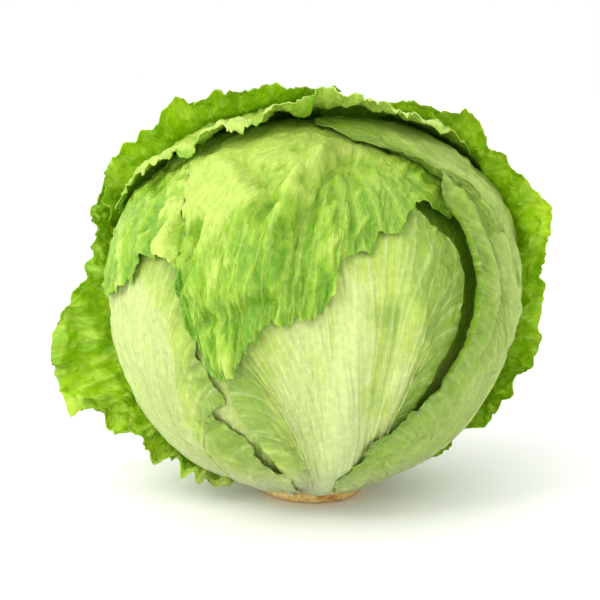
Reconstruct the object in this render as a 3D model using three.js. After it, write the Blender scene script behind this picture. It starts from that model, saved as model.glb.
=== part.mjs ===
// A head of crisphead lettuce standing on its trimmed stem.
//
// The tight inner leaves are one ball, the heart. Ten outer leaves lie round it, each a thin cupped
// shell that grows from the stem. A leaf is drawn as a flat fan: lines run from its foot on the stem to
// its margin. The fan is laid on the head, on top of whatever leaves lie there already, and its margin
// may bend away from the head.
//
// Frame: +Z up, origin at the centre of the stem's cut face, which rests on the floor. -Y is the front.
// A direction from the head's centre is [azimuth, polar], in degrees: azimuth 0 is the front and grows
// towards +X, polar is 0 straight down and 180 straight up.
import * as THREE from "three";

const degree = Math.PI / 180;

// Stem, in millimetres.
const stemCutRadius = 18; // the flat cut face
const stemRadius = 19.4; // where the lowest leaves grow
const stemTrim = 3.4; // height of the knife's bevel round the cut
const stemSides = 40;

// Heart: its widest radius, and the share of it from the head's centre to its surface by polar angle.
const heartGirth = 75.5;
const underShare = 0.94;
const crownShare = 0.86;
const heartProfile = [
  [0, underShare],
  [55, 0.954],
  [105, 1],
  [140, 0.974],
  [180, crownShare],
];
const heartColumns = 30;
const heartRows = 20;

// Leaves: blade thickness and the gap under each, on the body and at the foot by the stem. Flat facets
// sag below the round surface that they follow, so the gap on the body is that sag and some air.
const leafThickness = 1.0;
const leafAir = 0.6;
const widestFacet = 22; // of a leaf's mesh, in degrees
const facetSag = heartGirth * (1 - Math.cos((widestFacet / 2) * degree));
const leafGap = facetSag + leafAir;
const footThickness = 0.65;
const footGap = 0.5;
const leafGrid = [15, 12]; // columns and rows of a leaf's mesh
const longLeafGrid = [22, 18]; // for a leaf that comes up to the crown or over it
const wideLeafGrid = [28, 18]; // for the cap leaf, the widest
const clearance = 0.5; // between the stem and whatever meets it
const floorClearance = 2; // under the lowest leaf foot
const mostFeet = 6; // leaf feet that lie on one another at the stem
const footEnds = 22; // polar angle where a leaf is still foot, in degrees
const bodyStarts = 55; // polar angle from which it is all body

// How the outer leaves settle on the inner ones, in degrees.
const sampleCount = 3000;
const bridging = 11.5; // an upper leaf stays this far clear of the edge of a lower one
const footBridging = 6.5;
const softening = 4.8;

const rowCrowding = 1.15; // rows of a leaf's mesh crowd towards its margin
const ribHold = 0.4; // how far a fan line follows the midrib before it turns to the margin
const bendShare = 0.6; // part of a bent margin that is curved; the rest is straight
const mostBent = 0.6; // most of a fan line that may bend
const probe = 0.004; // step along a leaf that finds which way its surface faces

// Each leaf: rib is the azimuth where the midrib leaves the stem, and the polar angle of the leaf's
// middle. foot is the azimuth range on the stem. margin runs from the foot's left end round the tip to
// its right end, as [azimuth, polar, bend outwards in degrees, bent length in millimetres].
// bulge is [azimuth, polar, half width in degrees, height in millimetres]. grid is for a larger leaf.
const leaves = [
  {
    name: "inner_leaf",
    rib: [-38, 75],
    foot: [-76, 6],
    margin: [
      [-79, 26], [-84, 52], [-82, 84], [-68, 108], [-44, 116], [-20, 108], [-6, 88], [-2, 64],
      [4, 42], [10, 26],
    ],
    color: 0xc3d67c,
  },
  {
    name: "front_leaf",
    rib: [13, 75],
    foot: [-22, 52],
    margin: [
      [-24, 26], [-13, 38], [-19, 51], [-26, 64], [-34, 84], [-32, 108], [-16, 128], [6, 136],
      [28, 130], [40, 116], [44, 102], [42, 90], [38, 79], [37, 66], [44, 46], [56, 26],
    ],
    color: 0xcbdc98,
  },
  {
    name: "left_leaf",
    rib: [-66, 75],
    foot: [-112, -12],
    margin: [
      [-114, 26], [-116, 52], [-114, 84], [-105, 110], [-84, 124], [-52, 124], [-34, 108], [-29, 88],
      [-25, 74], [-27, 65], [-19, 52], [-13, 38], [-10, 26],
    ],
    color: 0xd6e6a4,
  },
  {
    name: "cap_leaf",
    rib: [172, 150],
    foot: [132, 208],
    margin: [
      [130, 27], [122, 56], [112, 84], [92, 106], [64, 115], [44, 119], [30, 119], [16, 110],
      [5, 103], [-4, 96], [-12, 92], [-17, 85], [-25, 80], [-34, 89], [-44, 97], [-56, 101],
      [-70, 101], [-86, 106], [-112, 104], [-136, 84], [-146, 56], [-150, 27],
    ],
    bulge: [-12, 122, 34, 2],
    grid: wideLeafGrid,
    color: 0x8fbc44,
  },
  {
    name: "right_leaf",
    rib: [84, 85],
    foot: [14, 128],
    margin: [
      [12, 27], [15, 44], [23, 58, 10, 5], [31, 69, 25, 7], [36, 82, 35, 9], [40, 94, 35, 9],
      [41, 107, 30, 9], [40, 119, 20, 8], [37, 130, 10, 6], [30, 142], [16, 152], [4, 165],
      [130, 162], [128, 140], [128, 112], [132, 82], [134, 52], [130, 27],
    ],
    bulge: [72, 104, 40, 4],
    grid: longLeafGrid,
    color: 0xa4bf62,
  },
  {
    name: "crown_leaf",
    rib: [178, 130],
    foot: [128, 228],
    margin: [
      [124, 27], [116, 56], [108, 90], [98, 122], [78, 142], [48, 152, -20, 12], [16, 157, 30, 12],
      [-14, 157, -20, 12], [-42, 149, -25, 12], [-66, 137], [-84, 122], [-108, 108], [-126, 82],
      [-132, 54], [-130, 27],
    ],
    bulge: [0, 180, 30, 6],
    grid: longLeafGrid,
    color: 0xb8d07c,
  },
  {
    name: "right_outer_leaf",
    rib: [124, 85],
    foot: [76, 176],
    margin: [
      [74, 27], [76, 44, 10, 8], [78, 62, 25, 14], [80, 82, 30, 18], [80, 100, 30, 18],
      [78, 118, 30, 18], [76, 134, 25, 16], [82, 148, 20, 12], [106, 156, 10, 8], [142, 148],
      [166, 124], [178, 90], [182, 54], [178, 27],
    ],
    color: 0x6f9a22,
  },
  {
    name: "back_left_leaf",
    rib: [-142, 105],
    foot: [-194, -98],
    margin: [
      [-198, 27], [-206, 54], [-206, 88], [-200, 118], [-190, 142], [-190, 160], [60, 172, 10, 8],
      [-32, 166, 25, 12], [-64, 154, 35, 16], [-80, 140, 40, 18], [-90, 126, 40, 18],
      [-98, 108, 15, 10], [-104, 84], [-104, 54], [-98, 27],
    ],
    grid: longLeafGrid,
    color: 0x9cc21e,
  },
  {
    name: "left_outer_leaf",
    rib: [-114, 70],
    foot: [-162, -74],
    margin: [
      [-164, 27], [-170, 54], [-168, 84], [-156, 106], [-134, 118], [-110, 118, 20, 10],
      [-96, 110, 50, 22], [-88, 98, 60, 30], [-82, 84, 65, 34], [-78, 68, 65, 34],
      [-76, 54, 45, 24], [-74, 40, 15, 10], [-72, 27],
    ],
    color: 0xa2c60c,
  },
  {
    name: "back_leaf",
    rib: [172, 80],
    foot: [122, 222],
    margin: [
      [118, 27], [112, 54], [112, 84, 15, 10], [122, 112, 30, 16], [146, 130, 35, 18],
      [174, 136, 35, 18], [202, 130, 35, 18], [224, 112, 30, 16], [232, 84, 15, 10], [230, 54],
      [226, 27],
    ],
    color: 0x9cbc3c,
  },
];

const heartUnderRadius = underShare * heartGirth;
const footPolar = Math.asin((stemRadius + clearance) / heartUnderRadius) / degree;
const footStack = mostFeet * (footThickness + footGap);
const centreHeight =
  (heartUnderRadius + footStack) * Math.cos(footPolar * degree) + floorClearance;
const headCentre = new THREE.Vector3(0, 0, centreHeight);

function directionAt(azimuth, polar) {
  const across = Math.sin(polar * degree);
  return new THREE.Vector3(
    across * Math.sin(azimuth * degree),
    -across * Math.cos(azimuth * degree),
    -Math.cos(polar * degree),
  );
}

function polarOf(direction) {
  return Math.acos(THREE.MathUtils.clamp(-direction.z, -1, 1)) / degree;
}

const profileCurve = new THREE.CatmullRomCurve3(
  heartProfile.map(([polar, share]) => new THREE.Vector3(polar, share * heartGirth, 0)),
  false,
  "catmullrom",
);

// The heart's radius at a polar angle, found on the profile by halving the interval.
function heartRadiusAt(polar) {
  let [low, high] = [0, 1];
  for (let step = 0; step < 22; step++) {
    const middle = (low + high) / 2;
    if (profileCurve.getPoint(middle).x < polar) low = middle;
    else high = middle;
  }
  return profileCurve.getPoint(low).y;
}

const heartTable = Array.from({ length: 181 }, (_, polar) => heartRadiusAt(polar));

function heartRadius(direction) {
  const polar = Math.min(polarOf(direction), 179.999);
  const whole = Math.floor(polar);
  return THREE.MathUtils.lerp(heartTable[whole], heartTable[whole + 1], polar - whole);
}

function bodyShare(direction) {
  return THREE.MathUtils.smoothstep(polarOf(direction), footEnds, bodyStarts);
}

function thicknessAt(direction) {
  return THREE.MathUtils.lerp(footThickness, leafThickness, bodyShare(direction));
}

function gapAt(direction) {
  return THREE.MathUtils.lerp(footGap, leafGap, bodyShare(direction));
}

// Directions spread evenly over the head, which carry the height of the leaves laid so far.
function spreadDirections(count) {
  const turn = Math.PI * (3 - Math.sqrt(5));
  return Array.from({ length: count }, (_, i) => {
    const z = 1 - (2 * i + 1) / count;
    const across = Math.sqrt(1 - z * z);
    return new THREE.Vector3(across * Math.cos(turn * i), across * Math.sin(turn * i), z);
  });
}

const samples = spreadDirections(sampleCount);
const sampleNeighbours = samples.map((a) => {
  const reach = Math.cos(THREE.MathUtils.lerp(footBridging, bridging, bodyShare(a)) * degree);
  return samples.flatMap((b, i) => (a.dot(b) >= reach - 1e-9 ? [i] : []));
});

// Heights over the heart at the samples, blurred to any direction.
function softHeight(heights, direction) {
  const reach = Math.cos(3 * softening * degree);
  let [sum, weights] = [0, 0];
  for (let i = 0; i < samples.length; i++) {
    const dot = samples[i].dot(direction);
    if (dot < reach) continue;
    const apart = Math.acos(Math.min(dot, 1)) / degree / softening;
    const weight = Math.exp(-apart * apart);
    sum += weight * heights[i];
    weights += weight;
  }
  return sum / weights;
}

// The flat map of one leaf: degrees of arc round its middle, x across and y along the midrib.
function leafMap([azimuth, polar]) {
  const centre = directionAt(azimuth, polar);
  const along = directionAt(azimuth, polar + 90);
  const across = along.clone().cross(centre);
  return {
    toFlat(direction) {
      const arc = Math.acos(THREE.MathUtils.clamp(direction.dot(centre), -1, 1));
      const stretch = arc < 1e-6 ? 1 : arc / Math.sin(arc);
      return new THREE.Vector2(direction.dot(across), direction.dot(along)).multiplyScalar(
        stretch / degree,
      );
    },
    toDirection(point) {
      const arc = point.length() * degree;
      const side = new THREE.Vector3()
        .addScaledVector(across, point.x)
        .addScaledVector(along, point.y);
      if (arc > 1e-9) side.multiplyScalar((Math.sin(arc) * degree) / arc);
      return side.addScaledVector(centre, Math.cos(arc));
    },
  };
}

function flatCurve(points) {
  return new THREE.CatmullRomCurve3(
    points.map(([x, y]) => new THREE.Vector3(x, y, 0)),
    false,
    "centripetal",
  );
}

// Where a point that lies `along` the bent end of a fan line comes to: forward on the head, and out.
function bend(along, angle, length) {
  if (Math.abs(angle) < 0.5 || length < 0.1) return [along, 0];
  const full = angle * degree;
  const curved = bendShare * length;
  const radius = curved / full;
  const turned = Math.min(along / radius / full, 1) * full;
  const straight = Math.max(along - curved, 0);
  return [
    radius * Math.sin(turned) + straight * Math.cos(full),
    radius * (1 - Math.cos(turned)) + straight * Math.sin(full),
  ];
}

function leafFan(leaf) {
  const map = leafMap(leaf.rib);
  const flatAt = (azimuth, polar) => map.toFlat(directionAt(azimuth, polar));
  const outline = leaf.margin.map(([azimuth, polar]) => flatAt(azimuth, polar));
  const marginCurve = flatCurve(outline.map((p) => [p.x, p.y]));

  // The bend of the margin a share of the way along it, eased from one listed point to the next.
  function bendAt(spot) {
    const place = spot * (leaf.margin.length - 1);
    const before = Math.min(Math.floor(place), leaf.margin.length - 2);
    const blend = THREE.MathUtils.smoothstep(place - before, 0, 1);
    const [, , angle0 = 0, length0 = 0] = leaf.margin[before];
    const [, , angle1 = 0, length1 = 0] = leaf.margin[before + 1];
    return {
      angle: THREE.MathUtils.lerp(angle0, angle1, blend),
      length: THREE.MathUtils.lerp(length0, length1, blend),
    };
  }

  function fanLine(u) {
    const foot = flatAt(THREE.MathUtils.lerp(leaf.foot[0], leaf.foot[1], u), footPolar);
    const spot = marginCurve.getUtoTmapping(u);
    const end = marginCurve.getPoint(spot);
    const edge = new THREE.Vector2(end.x, end.y);
    const hold = foot.clone();
    hold.y += ribHold * edge.distanceTo(foot);
    return { line: new THREE.QuadraticBezierCurve(foot, hold, edge), ...bendAt(spot) };
  }

  function inside(direction) {
    const p = map.toFlat(direction);
    const ring = [flatAt(leaf.foot[0], footPolar), ...outline, flatAt(leaf.foot[1], footPolar)];
    let within = false;
    ring.forEach((a, i) => {
      const b = ring[(i + 1) % ring.length];
      if (a.y > p.y !== b.y > p.y && p.x < ((b.x - a.x) * (p.y - a.y)) / (b.y - a.y) + a.x)
        within = !within;
    });
    return within;
  }

  return { map, fanLine, inside };
}

function bulgeHeight(leaf, direction) {
  if (!leaf.bulge) return 0;
  const [azimuth, polar, halfWidth, height] = leaf.bulge;
  const apart = direction.angleTo(directionAt(azimuth, polar)) / degree / halfWidth;
  return height * Math.exp(-apart * apart);
}

// Lays one leaf on the head: returns its solid and raises `laid` where it covers the samples.
function layLeaf(leaf, laid) {
  const fan = leafFan(leaf);
  const cleared = sampleNeighbours.map((near) => Math.max(...near.map((i) => laid[i])));
  const heightOver = (direction) => softHeight(cleared, direction) + bulgeHeight(leaf, direction);

  function middlePoint(u, v) {
    const { line, angle, length } = fan.fanLine(u);
    const spread = heartGirth * degree;
    const reach = line.getLength() * spread;
    const bent = Math.min(length, reach * mostBent);
    const past = v * reach - (reach - bent);
    const [forward, out] = past > 0 ? bend(past, angle, bent) : [past, 0];
    const direction = fan.map.toDirection(
      line.getPoint(THREE.MathUtils.clamp((reach - bent + forward) / reach, 0, 1)),
    );
    const height = heightOver(direction) + gapAt(direction) + thicknessAt(direction) / 2;
    return direction.clone().multiplyScalar(heartRadius(direction) + height + out);
  }

  function shellPoint(u, v, side) {
    const [u0, u1] = [Math.max(u - probe, 0), Math.min(u + probe, 1)];
    const [v0, v1] = [Math.max(v - probe, 0), Math.min(v + probe, 1)];
    const across = middlePoint(u1, v).sub(middlePoint(u0, v));
    const along = middlePoint(u, v1).sub(middlePoint(u, v0));
    const middle = middlePoint(u, v);
    const half = thicknessAt(middle.clone().normalize()) / 2;
    return middle.addScaledVector(across.cross(along).normalize(), side * half);
  }

  const [columns, rows] = leaf.grid ?? leafGrid;
  const geometry = new THREE.BoxGeometry(1, 1, 1, columns, rows, 1);
  const position = geometry.getAttribute("position");
  const made = new Map();
  for (let i = 0; i < position.count; i++) {
    const [u, t, side] = [position.getX(i) + 0.5, position.getY(i) + 0.5, position.getZ(i) * 2];
    const key = [u, t, side].map((x) => x.toFixed(4)).join();
    if (!made.has(key)) made.set(key, shellPoint(u, 1 - (1 - t) ** rowCrowding, side));
    position.setXYZ(i, ...made.get(key).toArray());
  }
  geometry.computeVertexNormals();

  samples.forEach((direction, i) => {
    if (fan.inside(direction))
      laid[i] = heightOver(direction) + gapAt(direction) + thicknessAt(direction);
  });
  return geometry;
}

function heartGeometry() {
  const geometry = new THREE.SphereGeometry(1, heartColumns, heartRows);
  geometry.rotateX(Math.PI / 2);
  const position = geometry.getAttribute("position");
  const direction = new THREE.Vector3();
  for (let i = 0; i < position.count; i++) {
    direction.fromBufferAttribute(position, i).normalize();
    position.setXYZ(i, ...direction.clone().multiplyScalar(heartRadius(direction)).toArray());
  }
  geometry.computeVertexNormals();
  return geometry;
}

// The stem: a squat plug with a flat cut face and a trimmed rim, up to just under the heart.
function stemGeometry() {
  const rise = Math.sqrt(heartUnderRadius ** 2 - stemRadius ** 2);
  const stemTop = centreHeight - heartUnderRadius - clearance;
  const shoulder = Math.min(stemTop, centreHeight - rise - clearance);
  const profile = [
    [0, 0],
    [stemCutRadius, 0],
    [stemRadius, stemTrim],
    [stemRadius, shoulder],
    [0, stemTop],
  ];
  const geometry = new THREE.LatheGeometry(
    profile.map(([radius, height]) => new THREE.Vector2(radius, height)),
    stemSides,
  );
  return geometry.rotateX(Math.PI / 2);
}

function makePart(name, geometry, color, centre) {
  const material = new THREE.MeshStandardMaterial({ color, roughness: 0.5, metalness: 0 });
  const mesh = new THREE.Mesh(geometry, material);
  mesh.name = name;
  if (centre) mesh.position.copy(centre);
  return mesh;
}

const lettuceHead = new THREE.Group();
lettuceHead.name = "lettuce_head";
lettuceHead.add(makePart("stem", stemGeometry(), 0xd9c08a));
lettuceHead.add(makePart("heart", heartGeometry(), 0xd8e4a0, headCentre));

const laidHeights = samples.map(() => 0);
for (const leaf of leaves)
  lettuceHead.add(makePart(leaf.name, layLeaf(leaf, laidHeights), leaf.color, headCentre));

export default lettuceHead;
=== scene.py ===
import math
import bpy
import numpy as np
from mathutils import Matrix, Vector


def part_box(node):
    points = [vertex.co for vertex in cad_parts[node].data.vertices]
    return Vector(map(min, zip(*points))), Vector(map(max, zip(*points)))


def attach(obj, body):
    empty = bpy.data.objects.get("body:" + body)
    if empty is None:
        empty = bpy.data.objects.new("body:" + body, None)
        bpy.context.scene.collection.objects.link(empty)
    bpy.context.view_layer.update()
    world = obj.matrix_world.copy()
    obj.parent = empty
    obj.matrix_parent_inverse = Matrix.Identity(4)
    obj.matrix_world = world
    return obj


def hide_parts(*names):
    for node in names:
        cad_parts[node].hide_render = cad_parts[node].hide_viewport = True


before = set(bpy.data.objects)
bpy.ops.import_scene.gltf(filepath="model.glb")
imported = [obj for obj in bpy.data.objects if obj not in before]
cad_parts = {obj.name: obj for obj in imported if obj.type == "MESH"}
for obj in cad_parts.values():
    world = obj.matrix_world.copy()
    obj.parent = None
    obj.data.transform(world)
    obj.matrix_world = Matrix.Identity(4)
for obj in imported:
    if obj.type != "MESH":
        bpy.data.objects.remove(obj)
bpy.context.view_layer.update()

# A head of crisphead lettuce. Lengths are in millimetres until a mesh is filled, angles in degrees.
# A direction from the head's centre is azimuth, 0 at the front and growing to the right,
# and polar, 0 straight down at the stem and 180 at the crown.

degree = math.pi / 180
heartLow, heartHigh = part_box("heart")
stemLow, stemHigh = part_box("stem")
stemReach = (stemHigh[0] - stemLow[0]) * 500
headCentre = np.array([0.0, 0.0, heartLow[2] * 1000 + 0.95 * (heartHigh[0] - heartLow[0]) * 500])
print("head centre", headCentre, "stem radius", stemReach)


def smoothStep(low, high, x):
    t = np.clip((x - low) / (high - low), 0, 1)
    return t * t * (3 - 2 * t)


def directionAt(azimuth, polar):
    a = np.asarray(azimuth, float) * degree
    p = np.asarray(polar, float) * degree
    return np.stack([np.sin(p) * np.sin(a), -np.sin(p) * np.cos(a), -np.cos(p) + 0 * a], -1)


def polarOf(d):
    return np.degrees(np.arccos(np.clip(-d[..., 2], -1, 1)))


def azimuthOf(d):
    return np.degrees(np.arctan2(d[..., 0], -d[..., 1]))


# the ball that the leaves are laid on, and the heights laid so far

head = {
    "radiusByPolar": [(0, 71.5), (25, 72), (60, 73), (85, 75.2), (110, 77.5), (135, 75.5), (160, 69.5), (180, 67.5)],
    "roundness": 9,  # blur of that outline
    "mapStep": 0.75,
}

polarTable = np.arange(-60, 240.5, 0.5)
foldedPolar = np.abs(polarTable)
foldedPolar = np.where(foldedPolar > 180, 360 - foldedPolar, foldedPolar)
roughOutline = np.interp(foldedPolar, *zip(*head["radiusByPolar"]))
blurSteps = np.arange(-50, 50.5, 0.5)
blurWeights = np.exp(-0.5 * (blurSteps / head["roundness"]) ** 2)
radiusTable = np.convolve(roughOutline, blurWeights / blurWeights.sum(), "same")


def headRadius(d):
    return np.interp(polarOf(d), polarTable, radiusTable)


mapRows = int(180 / head["mapStep"])
mapColumns = 2 * mapRows
rowPolar = (np.arange(mapRows) + 0.5) * head["mapStep"]
columnAzimuth = np.arange(mapColumns) * head["mapStep"] - 180
mapDirections = directionAt(*np.meshgrid(columnAzimuth, rowPolar))
laid = np.zeros((mapRows, mapColumns))


def overPoles(field, rows):
    top = np.roll(field[:rows][::-1], mapColumns // 2, 1)
    bottom = np.roll(field[-rows:][::-1], mapColumns // 2, 1)
    return np.vstack([top, field, bottom])


def readMap(field, d):
    padded = overPoles(field, 2)
    row = np.clip(polarOf(d) / head["mapStep"] - 0.5 + 2, 0, mapRows + 2.999)
    column = (azimuthOf(d) + 180) / head["mapStep"]
    r0 = np.floor(row).astype(int)
    c0 = np.floor(column).astype(int)
    fr = row - r0
    fc = column - c0
    c0 = c0 % mapColumns
    c1 = (c0 + 1) % mapColumns
    r1 = np.minimum(r0 + 1, mapRows + 3)
    upper = padded[r0, c0] * (1 - fc) + padded[r0, c1] * fc
    lower = padded[r1, c0] * (1 - fc) + padded[r1, c1] * fc
    return upper * (1 - fr) + lower * fr


def blurMap(field, width):
    waves = np.arange(mapColumns // 2 + 1) * 2 * math.pi / 360
    spread = np.minimum(width / np.sin(rowPolar * degree), 200)[:, None]
    field = np.fft.irfft(np.fft.rfft(field, axis=1) * np.exp(-0.5 * (spread * waves) ** 2), n=mapColumns, axis=1)
    reach = int(3 * width / head["mapStep"]) + 1
    padded = overPoles(field, reach)
    weights = np.exp(-0.5 * (np.arange(-reach, reach + 1) * head["mapStep"] / width) ** 2)
    weights /= weights.sum()
    return sum(w * padded[i:i + mapRows] for i, w in enumerate(weights))


def widenMap(field, width):
    reach = max(int(width / head["mapStep"]), 1)
    padded = overPoles(field, reach)
    tall = np.max([padded[i:i + mapRows] for i in range(2 * reach + 1)], axis=0)
    wide = tall.copy()
    for row in range(mapRows):
        goal = min(int(width / head["mapStep"] / math.sin(rowPolar[row] * degree)), mapColumns // 2)
        covered, step = 0, 1
        while covered < goal:
            step = min(max(covered, 1), goal - covered)
            wide[row] = np.maximum(wide[row], np.maximum(np.roll(wide[row], step), np.roll(wide[row], -step)))
            covered += step
    return wide


# seeded patterns on a flat leaf, each from -1 to 1
def softNoise(x, y, size, seed):
    table = np.random.RandomState(seed).rand(64, 64)
    gx, gy = x / size + 31.7, y / size + 17.3
    ix, iy = np.floor(gx).astype(int), np.floor(gy).astype(int)
    fx, fy = gx - ix, gy - iy
    fx, fy = fx * fx * (3 - 2 * fx), fy * fy * (3 - 2 * fy)
    at = lambda i, j: table[(ix + i) % 64, (iy + j) % 64]
    low = at(0, 0) * (1 - fx) + at(1, 0) * fx
    high = at(0, 1) * (1 - fx) + at(1, 1) * fx
    return 2 * (low * (1 - fy) + high * fy) - 1


# distance to the nearest and the second nearest point of a jittered grid
def cellNoise(x, y, size, seed):
    rng = np.random.RandomState(seed)
    jitterX, jitterY = rng.rand(64, 64), rng.rand(64, 64)
    gx, gy = x / size + 31.7, y / size + 17.3
    ix, iy = np.floor(gx).astype(int), np.floor(gy).astype(int)
    first = np.full(np.shape(x), 9.0)
    second = first.copy()
    for i in (-1, 0, 1):
        for j in (-1, 0, 1):
            cx, cy = ix + i, iy + j
            apart = np.hypot(cx + jitterX[cx % 64, cy % 64] - gx, cy + jitterY[cx % 64, cy % 64] - gy)
            second = np.where(apart < first, first, np.minimum(second, apart))
            first = np.minimum(first, apart)
    return first, second


# a flat map of the ball around one point of a leaf, in degrees, and the way back
def leafMap(rib):
    centre = directionAt(*rib)
    along = directionAt(rib[0], rib[1] + 90)
    across = np.cross(along, centre)

    def toFlat(d):
        arc = np.arccos(np.clip(d @ centre, -1, 1))
        stretch = np.where(arc < 1e-6, 1, arc / np.maximum(np.sin(arc), 1e-9)) / degree
        return np.stack([d @ across * stretch, d @ along * stretch], -1)

    def toDirection(p):
        arc = np.hypot(p[..., 0], p[..., 1]) * degree
        shrink = np.where(arc < 1e-9, degree, np.sin(arc) * degree / np.maximum(arc, 1e-9))[..., None]
        side = (p[..., :1] * across + p[..., 1:2] * along) * shrink
        return side + np.cos(arc)[..., None] * centre

    return toFlat, toDirection


# a curve through the points, evened by their spacing
def smoothPath(points, perSpan=24):
    points = np.asarray(points, float)
    ends = np.vstack([2 * points[0] - points[1], points, 2 * points[-1] - points[-2]])
    path = []
    for i in range(len(points) - 1):
        p0, p1, p2, p3 = ends[i:i + 4]
        t1 = max(np.hypot(*(p1 - p0)[:2]), 1e-6) ** 0.5
        t2 = t1 + max(np.hypot(*(p2 - p1)[:2]), 1e-6) ** 0.5
        t3 = t2 + max(np.hypot(*(p3 - p2)[:2]), 1e-6) ** 0.5
        t = np.linspace(t1, t2, perSpan, endpoint=False)[:, None]
        a1 = (t1 - t) / t1 * p0 + t / t1 * p1
        a2 = (t2 - t) / (t2 - t1) * p1 + (t - t1) / (t2 - t1) * p2
        a3 = (t3 - t) / (t3 - t2) * p2 + (t - t2) / (t3 - t2) * p3
        b1 = (t2 - t) / t2 * a1 + t / t2 * a2
        b2 = (t3 - t) / (t3 - t1) * a2 + (t - t1) / (t3 - t1) * a3
        path.append((t2 - t) / (t2 - t1) * b1 + (t - t1) / (t2 - t1) * b2)
    return np.vstack(path + [points[-1:]])


def blurAlong(values, width):
    steps = np.arange(-3 * width, 3 * width + 1)
    weights = np.exp(-0.5 * (steps / width) ** 2)
    padded = np.concatenate([np.repeat(values[:1], 3 * width, 0), values, np.repeat(values[-1:], 3 * width, 0)])
    return sum(w * padded[i:i + len(values)] for i, w in enumerate(weights / weights.sum()))


def distanceToPath(p, path):
    best = np.full(p.shape[:-1], 1e9)
    place = np.zeros(p.shape[:-1])
    for i in range(len(path) - 1):
        a, b = path[i], path[i + 1]
        t = np.clip(((p - a) @ (b - a)) / ((b - a) @ (b - a)), 0, 1)
        apart = np.hypot(*np.moveaxis(p - a - t[..., None] * (b - a), -1, 0))
        place = np.where(apart < best, (i + t) / (len(path) - 1), place)
        best = np.minimum(best, apart)
    return best, place


millimetre = 0.001
arcLength = 1.38  # millimetres to a degree of arc on the head
marginStretch = 1.4  # the same along a frilled margin
foldShape = 1.6  # a fold's flank, 2 is a bell and less is sharper
hollowDepth = 0.55
patternReach = 42  # millimetres of pattern to a radian about a leaf's focus


# folds and hollows that a leaf keeps, as a height over the ball
def foldHeight(leaf, flat, toFlat):
    height = np.zeros(flat.shape[:-1])
    for azimuth, polar, halfWidth, rise in leaf["bulges"]:
        apart = np.hypot(*np.moveaxis(flat - toFlat(directionAt(azimuth, polar)), -1, 0))
        height = height + rise * np.exp(-(apart / halfWidth) ** 2)
    for fold in leaf["folds"]:
        path = toFlat(directionAt(*np.array(fold["path"], float).T))
        wobble = 1.3 * softNoise(flat[..., 0], flat[..., 1], 7, 5)
        apart, place = distanceToPath(flat + np.stack([wobble, -wobble], -1), path)
        fade = np.minimum(smoothStep(0, 0.18, place + 0.06), smoothStep(0, 0.18, 1.06 - place))
        height = height + fold["rise"] * fade * np.exp(-(apart / fold["width"]) ** foldShape)
    return height


# a fold's hollow stops at the leaf below
def sunk(fold):
    return np.where(fold < 0, -hollowDepth * (1 - np.exp(fold / hollowDepth)), fold)


def neckDrop(d, drop):
    return drop * (1 - smoothStep(13.5, 24, polarOf(d)))


# the wave of a frilled margin, s millimetres along it and so far in from it
def frillWave(s, inward, spec, seed):
    broad = softNoise(s, inward * 0.35, spec["wave"] * 0.5, seed)
    middle = softNoise(s + 40, inward * 0.6, spec["wave"] * 0.24, seed + 1)
    fine = softNoise(s + 90, inward, spec["wave"] * 0.12, seed + 6)
    return 1.5 * broad + 0.75 * middle + 0.25 * fine


# the creases and pillows of a crumpled leaf, longer down the leaf than across it
def crumpled(x, y, across, down, spec, seed):
    size = spec["size"]
    warpX = x + 0.35 * size * softNoise(x, y, size * 0.9, seed + 1)
    warpY = y + 0.35 * size * softNoise(x, y, size * 0.9, seed + 2)
    pillow = 1 - 2.2 * np.abs(softNoise(warpX, warpY, size, seed + 3))
    smaller = 1 - 2.2 * np.abs(softNoise(warpX, warpY, size * 0.46, seed + 4))
    pleat = softNoise(across, down * 0.3, size * 0.55, seed + 5)
    finer = softNoise(across, down * 0.4, size * 0.24, seed + 7)
    tiny = 1 - 2.2 * np.abs(softNoise(x, y, size * 0.24, seed + 9))
    form = 0.7 * pillow + 0.42 * smaller + 0.16 * tiny
    return spec["rise"] * (form + spec.get("pleat", 0.6) * (pleat + 0.3 * finer))


# how far the margin's lobes and teeth stand out, in millimetres
def toothCut(s, spec, seed):
    lobes = softNoise(s, 0 * s + 3, spec["lobe"], seed + 2)
    lobes = lobes + 0.6 * softNoise(s, 0 * s + 7, spec["lobe"] * 0.4, seed + 3)
    saw = (s / spec["tooth"] + 0.9 * softNoise(s, 0 * s + 5, 6, seed + 4)) % 1
    teeth = np.where(saw < 0.7, saw / 0.7, (1 - saw) / 0.3)
    size = 0.6 + 0.7 * softNoise(s, 0 * s + 1, 8, seed + 5)
    return spec["lobeDepth"] * lobes + spec["toothDepth"] * (teeth - 0.5) * np.clip(size, 0.15, 1.4)


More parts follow.
